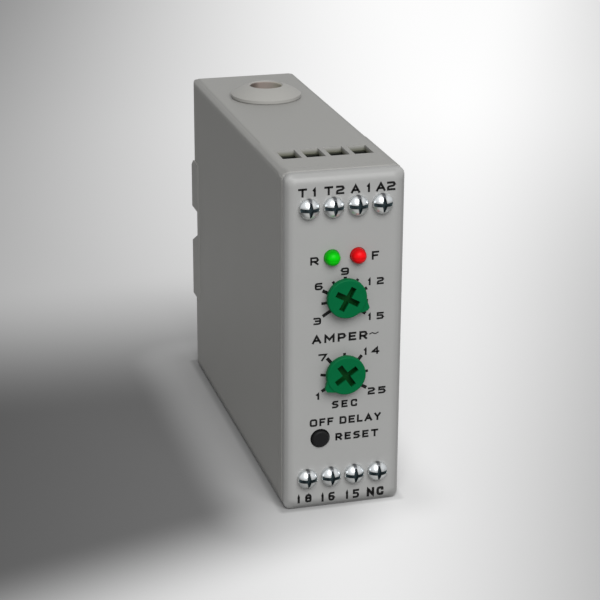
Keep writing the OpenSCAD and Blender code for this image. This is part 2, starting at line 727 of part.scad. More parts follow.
// A long body with a notch at one end, on two rows of legs
module controller_chip() color(black) {
    on_board(chip_at) translate([chip_stand, 0, 0]) difference() {
        cube(chip_size);
        translate([chip_size[0] / 2, 0, chip_size[2] / 2]) rotate([0, 90, 0])
            cylinder(r = chip_notch_r, h = chip_size[0]);
    }
    board_pins(chip_at, chip_pins, chip_pin_d);
}

// A block that stands on its x = 0 face, with round edges along x
module block(size, r) rotate([90, 0, 90]) linear_extrude(size[0])
    translate([size[1] / 2, 0]) round_slab(size[1], 0, size[2], r);

// The ring's section, drawn in radius and height
module ct_section(inset)
    translate([ct_inner_r + inset, inset]) square([ct_outer_r - ct_inner_r - 2 * inset, ct_h - 2 * inset]);

module ct_core() color([0.25, 0.25, 0.27])
    translate([0, window_y, ct_z0]) rotate_extrude() ct_section(ct_wind_t + fit_gap);

// The coil covers the ring apart from a gap at the rear
module ct_winding() color(copper)
    translate([0, window_y, ct_z0]) rotate([0, 0, 90 + ct_gap_angle / 2])
        rotate_extrude(angle = 360 - ct_gap_angle) difference() {
            ct_section(0);
            ct_section(ct_wind_t);
        }

// Two wires from the coil forward along the main board's face
module ct_leads() color([0.75, 0.12, 0.10]) {
    x = main_x1 + ct_wire_d / 2;
    coil_y = window_y - sqrt(pow(ct_outer_r, 2) - pow(main_x1 + ct_wire_d, 2));
    for (side = [-1, 1])
        bar_y(x, ct_z0 + ct_h / 2 + side * ct_wire_spread / 2,
              main_y1 - ct_wire_l, coil_y - fit_gap, ct_wire_d);
}

place() front_panel();
place() main_case();
place() cable_bush();
place() terminal_block_top();
place() terminal_block_bottom();
place() contact_bars_top();
place() contact_bars_bottom();
place() front_board();
place() range_pot();
place() delay_pot();
place() led_spacer();
place() green_led();
place() red_led();
place() tact_switch();
place() header_strip();
place() header_pins();
place() main_board();
place() output_relay();
place() supply_capacitor();
place() filter_capacitor();
place() controller_chip();
place() ct_core();
place() ct_winding();
place() ct_leads();
place() range_knob();
place() delay_knob();
place() reset_button();
for (i = [1:2 * poles]) {
    place() clamp_screw(i);
    place() clamp_cage(i);
}
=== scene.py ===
import json
import math
import bpy
import bmesh
from mathutils import Matrix, Vector
from mathutils.bvhtree import BVHTree


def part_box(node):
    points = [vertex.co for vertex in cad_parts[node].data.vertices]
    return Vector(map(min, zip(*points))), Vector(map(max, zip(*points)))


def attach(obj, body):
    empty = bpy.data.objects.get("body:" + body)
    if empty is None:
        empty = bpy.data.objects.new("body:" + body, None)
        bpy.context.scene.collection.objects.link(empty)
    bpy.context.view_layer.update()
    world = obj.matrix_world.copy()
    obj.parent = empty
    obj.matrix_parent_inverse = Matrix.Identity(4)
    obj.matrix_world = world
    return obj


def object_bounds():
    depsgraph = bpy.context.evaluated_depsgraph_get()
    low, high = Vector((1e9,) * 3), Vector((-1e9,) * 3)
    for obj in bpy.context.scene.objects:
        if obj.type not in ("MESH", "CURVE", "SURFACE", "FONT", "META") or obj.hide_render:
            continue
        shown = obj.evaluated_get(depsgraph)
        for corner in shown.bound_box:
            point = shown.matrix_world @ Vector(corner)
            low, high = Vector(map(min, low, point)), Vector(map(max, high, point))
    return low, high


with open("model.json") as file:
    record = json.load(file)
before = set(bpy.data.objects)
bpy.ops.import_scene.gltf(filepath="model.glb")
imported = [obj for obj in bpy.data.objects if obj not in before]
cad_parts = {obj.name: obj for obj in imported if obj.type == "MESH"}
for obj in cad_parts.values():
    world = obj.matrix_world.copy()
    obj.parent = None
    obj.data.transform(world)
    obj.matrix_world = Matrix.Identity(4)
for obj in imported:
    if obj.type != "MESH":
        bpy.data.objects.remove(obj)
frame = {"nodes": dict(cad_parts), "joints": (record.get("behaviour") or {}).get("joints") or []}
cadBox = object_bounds()
nodes = frame["nodes"]
mm = 0.001


# Shader sockets that can be added up

class Wire:
    def __init__(self, tree, socket=None):
        self.tree = tree
        self.socket = socket

    def node(self, kind, settings=None, inputs=None, out=0):
        made = self.tree.nodes.new(kind)
        for key, value in (settings or {}).items():
            if key == "stops":
                fillRamp(made.color_ramp, value)
            else:
                setattr(made, key, value)
        for key, value in (inputs or {}).items():
            if isinstance(value, Wire):
                self.tree.links.new(value.socket, made.inputs[key])
            else:
                made.inputs[key].default_value = value
        return None if out is None else Wire(self.tree, made.outputs[out])

    def maths(self, operation, first, second=0.0):
        return self.node("ShaderNodeMath", {"operation": operation}, {0: first, 1: second})

    def __add__(self, other):
        return self.maths("ADD", self, other)

    def __radd__(self, other):
        return self.maths("ADD", other, self)

    def __sub__(self, other):
        return self.maths("SUBTRACT", self, other)

    def __rsub__(self, other):
        return self.maths("SUBTRACT", other, self)

    def __mul__(self, other):
        return self.maths("MULTIPLY", self, other)

    def __rmul__(self, other):
        return self.maths("MULTIPLY", other, self)

    def __truediv__(self, other):
        return self.maths("DIVIDE", self, other)

    def __rtruediv__(self, other):
        return self.maths("DIVIDE", other, self)

    def __lt__(self, other):
        return self.maths("LESS_THAN", self, other)

    def __gt__(self, other):
        return self.maths("GREATER_THAN", self, other)


def fillRamp(ramp, stops):
    while len(ramp.elements) < len(stops):
        ramp.elements.new(1.0)
    for element, (at, colour) in zip(ramp.elements, stops):
        element.position = at
        element.color = colour


def grey(level):
    return (level, level, level, 1.0)


def opaque(colour):
    return tuple(colour) + (1.0,)


def shade(colour, factor):
    return tuple(min(1.0, c * factor) for c in colour) + (1.0,)


def newFinish(name, fixed):
    material = bpy.data.materials.new(name)
    material.use_nodes = True
    shader = material.node_tree.nodes["Principled BSDF"]
    for key, value in fixed.items():
        shader.inputs[key].default_value = value
    return material, Wire(material.node_tree), shader


def feed(shader, wire, key):
    wire.tree.links.new(wire.socket, shader.inputs[key])


def vector(wire, operation, first, second, out=0):
    return wire.node("ShaderNodeVectorMath", {"operation": operation}, {0: first, 1: second}, out)


def places(wire):
    spot = wire.node("ShaderNodeTexCoord", out="Object")
    return vector(wire, "MULTIPLY", spot, (1 / mm, 1 / mm, 1 / mm))  # metres to millimetres


def part(wire, spot, letter):
    return wire.node("ShaderNodeSeparateXYZ", {}, {0: spot}, out=letter)


aboutY = (1.0, 0.0, 1.0)  # what is kept of a spot to measure its distance from an axis
aboutZ = (1.0, 1.0, 0.0)


def lengthOf(wire, spot, keep=(1.0, 1.0, 1.0)):
    kept = vector(wire, "MULTIPLY", spot, keep)
    return wire.node("ShaderNodeVectorMath", {"operation": "LENGTH"}, {0: kept}, out="Value")


noiseSpec = {
    "cloud": {"Detail": 3.0, "Roughness": 0.5},
    "soft": {"Detail": 2.0, "Roughness": 0.5},
    "grain": {"Detail": 2.0, "Roughness": 0.6},
    "scratch": {"Detail": 3.0, "Roughness": 0.65},
}


def noise(wire, spot, kind, perMm):
    return wire.node("ShaderNodeTexNoise", {}, {"Vector": spot, "Scale": perMm, **noiseSpec[kind]})


def swing(level, amount):  # a noise about its middle, which is a half
    return (level - 0.5) * amount


def toShare(level):  # from -1..1 to 0..1
    return level * 0.5 + 0.5


def mixColour(wire, factor, first, second):  # a Mix node's colours are its sockets 6 and 7
    return wire.node("ShaderNodeMix", {"data_type": "RGBA"}, {0: factor, 6: first, 7: second}, out=2)


def clouded(wire, cloud, colour, spread):
    return mixColour(wire, cloud, shade(colour, 1 - spread), shade(colour, 1 + spread))


def smooth(wire, value, start, end):
    return wire.node("ShaderNodeMapRange", {"interpolation_type": "SMOOTHSTEP"}, {0: value, 1: start, 2: end})


def relief(wire, height, depth, under=None):
    inputs = {"Strength": 1.0, "Distance": depth, "Height": height}
    if under:
        inputs["Normal"] = under
    return wire.node("ShaderNodeBump", {}, inputs)


def wear(nodeNames, material):
    for name in nodeNames:
        mesh = nodes[name].data
        mesh.materials.clear()
        mesh.materials.append(material)


def middleOf(node):
    low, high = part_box(node)
    return (low + high) / 2 / mm


# Moulded plastics: a cloudy tone, a fine spark-eroded grain and a roughness that follows both

def outsideBox(wire, first, second, middle, half):
    across = wire.maths("ABSOLUTE", first - middle[0]) - half[0]
    along = wire.maths("ABSOLUTE", second - middle[1]) - half[1]
    outAcross, outAlong = wire.maths("MAXIMUM", across), wire.maths("MAXIMUM", along)
    out = wire.maths("SQRT", outAcross * outAcross + outAlong * outAlong)
    return out + wire.maths("MINIMUM", wire.maths("MAXIMUM", across, along))


steepest = 27 / 4  # brings the greatest value of t * (1 - t) ** 2 to one


def fallOff(wire, share):  # from 0 at an edge to a level face; its slope follows t * (1 - t) ** 2
    t = wire.maths("MAXIMUM", wire.maths("MINIMUM", share, 1.0))
    return t * t * (1 / 2 - t * (2 / 3 - t * (1 / 4))) * steepest


def crowned(wire, spot, node, crown):  # the face falls off softly towards the panel's outline
    low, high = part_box(node)
    middle, half = (low + high) / 2 / mm, (high - low) / 2 / mm
    reach = crown["reach"]
    across, up = part(wire, spot, "X"), part(wire, spot, "Z")
    out = outsideBox(wire, across, up, (middle.x, middle.z), (half.x - reach, half.z - reach))
    return relief(wire, fallOff(wire, 1 - out / reach), crown["slope"] * reach * mm)


def belowEnds(wire, spot):  # how far below the case's top, or above its bottom
    low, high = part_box("main_case")
    upward = wire.maths("ABSOLUTE", part(wire, spot, "Z") - (low.z + high.z) / 2 / mm)
    return (high.z - low.z) / 2 / mm - upward


def rolled(wire, spot, roll):  # the case's long edges look rounder than their radius
    across = wire.maths("ABSOLUTE", part(wire, spot, "X") - middleOf("main_case").x)
    reach = roll["reach"]
    fall = fallOff(wire, (roll["halfWide"] - across) / reach) + fallOff(wire, belowEnds(wire, spot) / reach)
    return relief(wire, fall, roll["slope"] * reach * mm)


def boreLightAndShade(wire, spot, bore, outside):  # painted light and shade in the hole: warmer than the outside, painted darker on its left and lighter on its right
    aside = vector(wire, "SUBTRACT", spot, middleOf(bore["node"]))
    across = toShare(part(wire, aside, "X") / bore["radius"])
    inner = wire.node("ShaderNodeValToRGB", {"stops": bore["stops"]}, {0: across})
    return mixColour(wire, lengthOf(wire, aside, aboutZ) < bore["radius"], outside, inner)


def paintedDepthShade(wire, spot, depthShade, outside):  # painted shade: the clamp chambers and the wire windows' walls are painted darker inwards
    dark = smooth(wire, belowEnds(wire, spot), *depthShade["band"])
    if "row" in depthShade:
        row = depthShade["row"]
        dark = dark * (wire.maths("ABSOLUTE", part(wire, spot, "X")) < row["halfWide"])
        dark = dark * (wire.maths("ABSOLUTE", part(wire, spot, "Y") - row["middle"]) < row["half"])
    return mixColour(wire, dark, outside, opaque(depthShade["colour"]))


mouldSpec = {"index": 1.5, "gloss": 0.4, "cloud": 0.12, "cloudRough": 0.12, "grainRough": 0.1}


def mouldedPlastic(name, spec):
    fixed = {"IOR": mouldSpec["index"], "Specular IOR Level": spec.get("gloss", mouldSpec["gloss"])}
    material, wire, shader = newFinish(name, fixed)
    spot = places(wire)
    cloud = noise(wire, spot, "cloud", mouldSpec["cloud"])
    grain = noise(wire, spot, "grain", spec["grain"])
    tone = clouded(wire, cloud, spec["colour"], spec["tone"])
    # painted light and shade in the cable hole, and painted shade where the case and blocks darken inwards
    if "bore" in spec:
        tone = boreLightAndShade(wire, spot, spec["bore"], tone)
    if "depthShade" in spec:
        tone = paintedDepthShade(wire, spot, spec["depthShade"], tone)
    feed(shader, tone, "Base Color")
    rough = spec["rough"] + swing(cloud, mouldSpec["cloudRough"]) + swing(grain, mouldSpec["grainRough"])
    feed(shader, rough, "Roughness")
    under = None
    if "crown" in spec:
        under = crowned(wire, spot, spec["crown"]["node"], spec["crown"])
    elif "roll" in spec:
        under = rolled(wire, spot, spec["roll"])
    feed(shader, relief(wire, grain, spec["depth"] * mm, under), "Normal")
    return material


# Lengths are in millimetres, and cloud and grain count per millimetre

casePlastic = {
    "colour": (0.343, 0.341, 0.327), "tone": 0.03, "grain": 6.0, "depth": 0.010,
    "rough": 0.5, "gloss": 0.25, "roll": {"halfWide": 12.75, "reach": 2.4, "slope": 0.5},
    # painted shade on the wire windows' walls, darker with depth below the top
    "depthShade": {
        "colour": (0.110, 0.111, 0.080), "band": (0.0, 1.3),
        "row": {"halfWide": 10.4, "middle": -27.25, "half": 3.6},
    },
}
panelPlastic = {
    "colour": (0.372, 0.373, 0.366), "tone": 0.025, "grain": 8.0, "depth": 0.006, "rough": 0.42,
    "crown": {"node": "front_panel", "reach": 2.6, "slope": 0.55},
}
bushPlastic = {
    "colour": (0.375, 0.370, 0.350), "tone": 0.02, "grain": 6.0, "depth": 0.008, "rough": 0.44,
    # painted light and shade in the cable hole
    "bore": {
        "node": "cable_bush", "radius": 3.75,
        "stops": [
            (0.0, opaque((0.10, 0.085, 0.075))), (0.25, opaque((0.16, 0.13, 0.115))),
            (0.40, opaque((0.30, 0.25, 0.225))), (0.75, opaque((0.32, 0.28, 0.25))),
            (1.0, opaque((0.40, 0.39, 0.32))),
        ],
    },
}
buttonPlastic = {
    "colour": (0.0075, 0.0075, 0.008), "tone": 0.3, "grain": 9.0, "depth": 0.012,
    "rough": 0.55, "gloss": 0.15,
}
blockPlastic = {
    "colour": (0.135, 0.140, 0.100), "tone": 0.1, "grain": 5.0, "depth": 0.01, "rough": 0.55,
    # painted shade down in the clamp chambers
    "depthShade": {"colour": (0.004, 0.005, 0.003), "band": (1.2, 1.75)},
}
potPlastic = {"colour": (0.03, 0.07, 0.22), "tone": 0.1, "grain": 7.0, "depth": 0.008, "rough": 0.45}
spacerPlastic = {"colour": (0.7, 0.7, 0.67), "tone": 0.05, "grain": 6.0, "depth": 0.008, "rough": 0.5}
relayPlastic = {"colour": (0.02, 0.09, 0.30), "tone": 0.08, "grain": 5.0, "depth": 0.006, "rough": 0.3}
filmResin = {"colour": (0.52, 0.30, 0.03), "tone": 0.12, "grain": 3.0, "depth": 0.02, "rough": 0.3}
sleeveFilm = {"colour": (0.012, 0.016, 0.05), "tone": 0.2, "grain": 4.0, "depth": 0.006, "rough": 0.28}
leadSleeve = {"colour": (0.45, 0.02, 0.015), "tone": 0.1, "grain": 6.0, "depth": 0.006, "rough": 0.4}
wear(["main_case"], mouldedPlastic("casePlastic", casePlastic))
wear(["cable_bush"], mouldedPlastic("bushPlastic", bushPlastic))
wear(["front_panel"], mouldedPlastic("panelPlastic", panelPlastic))
blackPlastic = mouldedPlastic("blackPlastic", buttonPlastic)
wear(["reset_button", "tact_switch", "header_strip", "controller_chip"], blackPlastic)
wear(["terminal_block_top", "terminal_block_bottom"], mouldedPlastic("blockPlastic", blockPlastic))
wear(["range_pot", "delay_pot"], mouldedPlastic("potPlastic", potPlastic))
wear(["led_spacer"], mouldedPlastic("spacerPlastic", spacerPlastic))
wear(["output_relay"], mouldedPlastic("relayPlastic", relayPlastic))
wear(["supply_capacitor"], mouldedPlastic("filmResin", filmResin))
wear(["filter_capacitor"], mouldedPlastic("sleeveFilm", sleeveFilm))
wear(["ct_leads"], mouldedPlastic("leadSleeve", leadSleeve))
print("plastics on")


# Knobs: green plastic, with painted shade down in the cross slot

knobSpec = {
    "colour": (0.001, 0.130, 0.042), "slotShadeColour": (0.003, 0.050, 0.010),
    "slotReach": 2.9, "slotDepth": 0.2, "slotFade": 0.5, "rough": 0.45, "gloss": 0.06,
    "cloud": 0.5, "tone": 0.08, "cloudRough": 0.15, "grain": 7.0, "depth": 0.006,
}


def knobAxis(node):
    joint = next(j for j in frame["joints"] if j["child"] == node)
    return tuple(place / mm for place in joint["pos_m"])


def knobFinish(name, node):
    fixed = {"IOR": mouldSpec["index"], "Specular IOR Level": knobSpec["gloss"]}
    material, wire, shader = newFinish(name, fixed)
    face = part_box(node)[0].y / mm
    spot = places(wire)
    cloud = noise(wire, spot, "cloud", knobSpec["cloud"])
    grain = noise(wire, spot, "grain", knobSpec["grain"])
    under = smooth(wire, part(wire, spot, "Y"), face + knobSpec["slotDepth"], face + knobSpec["slotFade"])
    radius = lengthOf(wire, vector(wire, "SUBTRACT", spot, knobAxis(node)), aboutY)
    # painted shade down in the cross slot
    slotShade = under * (radius < knobSpec["slotReach"])
    body = clouded(wire, cloud, knobSpec["colour"], knobSpec["tone"])
    feed(shader, mixColour(wire, slotShade, body, opaque(knobSpec["slotShadeColour"])), "Base Color")
    feed(shader, knobSpec["rough"] + swing(cloud, knobSpec["cloudRough"]), "Roughness")
    feed(shader, relief(wire, grain, knobSpec["depth"] * mm), "Normal")
    return material


for knob in ("range_knob", "delay_knob"):
    wear([knob], knobFinish(knob + "Green", knob))


# Lamps: tinted diffusing lenses with a faint glow, painted highlight and reflection bands that brighten
# towards the top, and painted shade at the rim

lampSpec = {
    # the lens colour under painted light, under painted shade, and its glow
    "green_led": {"paintedBright": (0.001, 0.48, 0.002), "dark": (0.0, 0.15, 0.001), "glow": (0.0, 0.9, 0.002)},
    "red_led": {"paintedBright": (0.74, 0.003, 0.006), "dark": (0.26, 0.001, 0.001), "glow": (1.0, 0.004, 0.010)},
}
lensSpec = {"Roughness": 0.35, "IOR": 1.5, "Specular IOR Level": 0.10, "Emission Strength": 0.2}
# painted bands and painted rim shade of the lens
paintedLensSpec = {"cloud": 1.2, "waver": 0.12, "rim": (0.9, 1.7), "rimShade": 0.55}
paintedLensBands = [
    (0.0, grey(0.25)), (0.30, grey(0.62)), (0.38, grey(0.86)),
    (0.46, grey(0.60)), (0.58, grey(0.95)), (1.0, grey(0.85)),
]


def lampFinish(name, node, spec):
    material, wire, shader = newFinish(name, lensSpec)
    spot = places(wire)
    low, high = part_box(node)
    aside = vector(wire, "SUBTRACT", spot, middleOf(node))
    cloud = noise(wire, spot, "soft", paintedLensSpec["cloud"])
    height = toShare(part(wire, aside, "Z") / ((high.z - low.z) / 2 / mm)) + swing(cloud, paintedLensSpec["waver"])
    # painted highlight and reflection bands, brighter towards the top
    bands = wire.node("ShaderNodeValToRGB", {"stops": paintedLensBands}, {0: height})
    # painted shade at the rim
    rim = smooth(wire, lengthOf(wire, aside, aboutY), *paintedLensSpec["rim"])
    paintedLight = bands * (1 - rim * paintedLensSpec["rimShade"])
    feed(shader, mixColour(wire, paintedLight, opaque(spec["dark"]), opaque(spec["paintedBright"])), "Base Color")
    feed(shader, mixColour(wire, paintedLight, grey(0.0), opaque(spec["glow"])), "Emission Color")
    return material


for lamp, spec in lampSpec.items():
    wear([lamp], lampFinish(lamp + "Lens", lamp, spec))
print("knobs and lamps on")


# Clamp screws: zinc with turned rings, a painted highlight on the upper flanks, and painted shade with dark
# oxide down in the slot and the cross

screwSpec = {
    # the flank colour is a painted highlight, the notch colour painted shade, the slot colour painted shade
    # with dark oxide
    "colour": (0.53, 0.56, 0.58), "tint": (0.57, 0.57, 0.54), "slot": (0.060, 0.085, 0.095),
    "paintedBright": (0.76, 0.79, 0.81), "brightHalf": (0.40, 0.85), "brightFrom": (0.30, 0.85),
    "paintedNotchShade": (0.14, 0.145, 0.155), "armHalf": (0.24, 0.50), "armFrom": (0.2, 0.6),
    "ball": 2.44, "skin": 0.10, "rim": 0.08, "rough": 0.34, "cloud": 1.2, "scratch": 9.0, "rings": 14.0,
    "scratchRough": 0.12, "recessRough": 0.3, "scratchHigh": 0.6, "ringHigh": 0.2, "depth": 0.004,
}


def screwFinish(name, node):
    material, wire, shader = newFinish(name, {"Metallic": 1.0})
    low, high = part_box(node)
    size = (high - low) / mm
    boxed = wire.node("ShaderNodeTexCoord", out="Generated")  # the same on all eight
    faceMiddle = (0.5, 0.0, 0.5)
    spot = vector(wire, "MULTIPLY", vector(wire, "SUBTRACT", boxed, faceMiddle), size)
    reach = lengthOf(wire, vector(wire, "SUBTRACT", spot, (0.0, screwSpec["ball"], 0.0)))
    radius = lengthOf(wire, spot, aboutY)
    # painted shade with dark oxide in the slot and the cross
    slotShadeAndOxide = (reach < screwSpec["ball"] - screwSpec["skin"]) * (radius < size.x / 2 - screwSpec["rim"])
    cloud = noise(wire, spot, "cloud", screwSpec["cloud"])
    scratch = noise(wire, spot, "scratch", screwSpec["scratch"])
    zinc = mixColour(wire, cloud, opaque(screwSpec["colour"]), opaque(screwSpec["tint"]))
    aside = wire.maths("ABSOLUTE", part(wire, spot, "X"))
    up = part(wire, spot, "Z")
    # painted highlight on the upper flanks
    paintedFlankHighlight = smooth(wire, aside, *screwSpec["brightHalf"]) * smooth(wire, up, *screwSpec["brightFrom"])
    zinc = mixColour(wire, paintedFlankHighlight, zinc, opaque(screwSpec["paintedBright"]))
    paintedNotchShade = (1 - smooth(wire, aside, *screwSpec["armHalf"])) * smooth(wire, up, *screwSpec["armFrom"])
    zinc = mixColour(wire, paintedNotchShade, zinc, opaque(screwSpec["paintedNotchShade"]))  # painted shade: the upper notch runs out over the dome
    feed(shader, mixColour(wire, slotShadeAndOxide, zinc, opaque(screwSpec["slot"])), "Base Color")
    rough = screwSpec["rough"] + swing(scratch, screwSpec["scratchRough"]) + slotShadeAndOxide * screwSpec["recessRough"]
    feed(shader, rough, "Roughness")
    turned = wire.maths("SINE", radius * screwSpec["rings"])
    height = scratch * screwSpec["scratchHigh"] + turned * screwSpec["ringHigh"]
    feed(shader, relief(wire, height, screwSpec["depth"] * mm), "Normal")
    return material


screwNames = [n for n in nodes if n.startswith("clamp_screw")]
wear(screwNames, screwFinish("screwZinc", screwNames[0]))


# Other metals: plating or bare metal with a faint cloud and fine scratches

metalSpec = {
    "cageZinc": {"colour": (0.50, 0.51, 0.49), "rough": 0.36, "cloud": 0.8, "tint": (0.56, 0.54, 0.46)},
    "barCopper": {"colour": (0.78, 0.40, 0.20), "rough": 0.32, "cloud": 0.7, "tint": (0.52, 0.23, 0.11)},
    "pinGold": {"colour": (0.85, 0.62, 0.22), "rough": 0.25, "cloud": 1.0, "tint": (0.75, 0.52, 0.18)},
    "coreFerrite": {"colour": (0.06, 0.06, 0.065), "rough": 0.6, "cloud": 1.5, "tint": (0.03, 0.03, 0.03)},
}
scratchSpec = {"perMm": 9.0, "rough": 0.18, "depth": 0.006}


def platedMetal(name):
    spec = metalSpec[name]
    material, wire, shader = newFinish(name, {"Metallic": 1.0})
    spot = places(wire)
    cloud = noise(wire, spot, "cloud", spec["cloud"])
    scratch = noise(wire, spot, "scratch", scratchSpec["perMm"])
    feed(shader, mixColour(wire, cloud, opaque(spec["colour"]), opaque(spec["tint"])), "Base Color")
    feed(shader, spec["rough"] + swing(scratch, scratchSpec["rough"]), "Roughness")
    feed(shader, relief(wire, scratch, scratchSpec["depth"] * mm), "Normal")
    return material


wear([n for n in nodes if n.startswith("clamp_cage")], platedMetal("cageZinc"))
wear(["contact_bars_top", "contact_bars_bottom"], platedMetal("barCopper"))
wear(["header_pins"], platedMetal("pinGold"))
wear(["ct_core"], platedMetal("coreFerrite"))


# Boards: solder mask over faint tracks

boardSpec = {
    "mask": (0.012, 0.105, 0.035), "track": (0.03, 0.19, 0.07), "pitch": 0.45, "line": 0.035,
    "coat": 0.4, "coatRough": 0.15, "rough": 0.3, "weave": 4.0, "weaveRough": 0.2,
    "lineHigh": 0.5, "weaveHigh": 0.2, "depth": 0.03,
}


def boardFinish(name):
    fixed = {"Coat Roughness": boardSpec["coatRough"], "Coat Weight": boardSpec["coat"]}
    material, wire, shader = newFinish(name, fixed)
    spot = places(wire)
    settings = {"feature": "DISTANCE_TO_EDGE"}
    cells = wire.node("ShaderNodeTexVoronoi", settings, {"Vector": spot, "Scale": boardSpec["pitch"]})
    line = cells < boardSpec["line"]
    weave = noise(wire, spot, "soft", boardSpec["weave"])
    feed(shader, mixColour(wire, line, opaque(boardSpec["mask"]), opaque(boardSpec["track"])), "Base Color")
    feed(shader, boardSpec["rough"] + swing(weave, boardSpec["weaveRough"]), "Roughness")
    height = line * boardSpec["lineHigh"] + weave * boardSpec["weaveHigh"]
    feed(shader, relief(wire, height, boardSpec["depth"] * mm), "Normal")
    return material


wear(["front_board", "main_board"], boardFinish("solderMask"))


# Coil: enamelled wire laid side by side round the ring, with painted shade in the grooves between the turns

coilSpec = {
    "colour": (0.40, 0.13, 0.03), "dark": (0.12, 0.035, 0.01), "turns": 150,
    "metallic": 0.6, "rough": 0.45, "crest": 0.2, "depth": 0.15,
}


def coilFinish(name):
    material, wire, shader = newFinish(name, {"Metallic": coilSpec["metallic"]})
    aside = vector(wire, "SUBTRACT", places(wire), middleOf("ct_core"))
    angle = wire.maths("ARCTAN2", part(wire, aside, "Y"), part(wire, aside, "X"))
    turn = toShare(wire.maths("SINE", angle * coilSpec["turns"]))
    # painted shade in the grooves between the turns
    feed(shader, mixColour(wire, turn, opaque(coilSpec["dark"]), opaque(coilSpec["colour"])), "Base Color")
    feed(shader, coilSpec["rough"] - turn * coilSpec["crest"], "Roughness")
    feed(shader, relief(wire, turn, coilSpec["depth"] * mm), "Normal")
    return material


wear(["ct_winding"], coilFinish("enamelledWire"))
print("metals, boards and coil on")


# Print on the panel: wide square lettering drawn as strokes in a cell one high

printSpec = {  # millimetres; soft is a share of the letter's height, and bends count a corner's steps
    "lift": 0.015, "sink": 0.03, "step": 0.3, "soft": 0.24, "bends": 4, "mitre": 0.5, "castFrom": 10.0,
}
inkSpec = {"dark": 0.004, "pale": 0.014, "patch": 3.0, "rough": 0.5, "patchRough": 0.2, "gloss": 0.15}
tiny = 1e-6
letterShapes = {  # width, then strokes; a point with a third number is a round corner
    "1": (0.36, [[(0, 0.78), (1, 1), (1, 0)]]),
    "2": (0.95, [[(0, 1), (1, 1, 1), (1, 0.56, 1), (0, 0.40, 1), (0, 0), (1, 0)]]),
    "3": (1.0, [[(0, 1), (1, 1, 1), (1, 0, 1), (0, 0)], [(0.25, 0.52), (1, 0.52)]]),
    "4": (1.06, [[(0.78, 0), (0.78, 1), (0, 0.3), (1, 0.3)]]),
    "5": (0.98, [[(1, 1), (0, 1), (0, 0.58), (1, 0.58, 1), (1, 0, 1), (0, 0)]]),
    "6": (0.98, [[(0.95, 1), (0, 1, 1), (0, 0, 1), (1, 0, 1), (1, 0.55, 1), (0, 0.55)]]),
    "7": (1.1, [[(0, 1), (1, 1), (0.4, 0)]]),
    "8": (1.0, [[(0.5, 0), (0, 0, 1), (0, 1, 1), (1, 1, 1), (1, 0, 1), (0.5, 0)], [(0, 0.52), (1, 0.52)]]),
    "9": (1.0, [[(0.05, 0), (1, 0, 1), (1, 1, 1), (0, 1, 1), (0, 0.45, 1), (1, 0.45)]]),
    "A": (1.06, [[(0, 0), (0.5, 1), (1, 0)], [(0.26, 0.30), (0.74, 0.30)]]),
    "C": (0.94, [[(1, 0.8), (1, 1, 1), (0, 1, 1), (0, 0, 1), (1, 0, 1), (1, 0.2)]]),
    "D": (0.96, [[(0.5, 0), (0, 0), (0, 1), (1, 1, 1), (1, 0, 1), (0.5, 0)]]),
    "E": (0.88, [[(1, 1), (0, 1), (0, 0), (1, 0)], [(0, 0.52), (0.85, 0.52)]]),
    "F": (0.82, [[(1, 1), (0, 1), (0, 0)], [(0, 0.5), (0.8, 0.5)]]),
    "L": (0.78, [[(0, 1), (0, 0), (1, 0)]]),
    "M": (1.18, [[(0, 0), (0, 1), (0.5, 0.3), (1, 1), (1, 0)]]),
    "N": (1.0, [[(0, 0), (0, 1), (1, 0), (1, 1)]]),
    "O": (1.04, [[(0.5, 0), (0, 0, 1), (0, 1, 1), (1, 1, 1), (1, 0, 1), (0.5, 0)]]),
    "P": (0.92, [[(0, 0), (0, 1), (1, 1, 1), (1, 0.42, 1), (0, 0.42)]]),
    "R": (0.92, [[(0, 0), (0, 1), (1, 1, 1), (1, 0.42, 1), (0, 0.42)], [(0.5, 0.38), (1, 0)]]),
    "S": (0.88, [[(1, 1), (0, 1, 1), (0, 0.52, 1), (1, 0.52, 1), (1, 0, 1), (0, 0)]]),
    "T": (1.0, [[(0, 1), (1, 1)], [(0.5, 1), (0.5, 0)]]),
    "Y": (0.9, [[(0, 1), (0.5, 0.48), (1, 1)], [(0.5, 0.48), (0.5, 0)]]),
    "~": (4.0, [[(0, 0.2), (0.3, 1, 1), (0.68, 0, 1), (1, 1)]]),
    " ": (0.3, []),
}
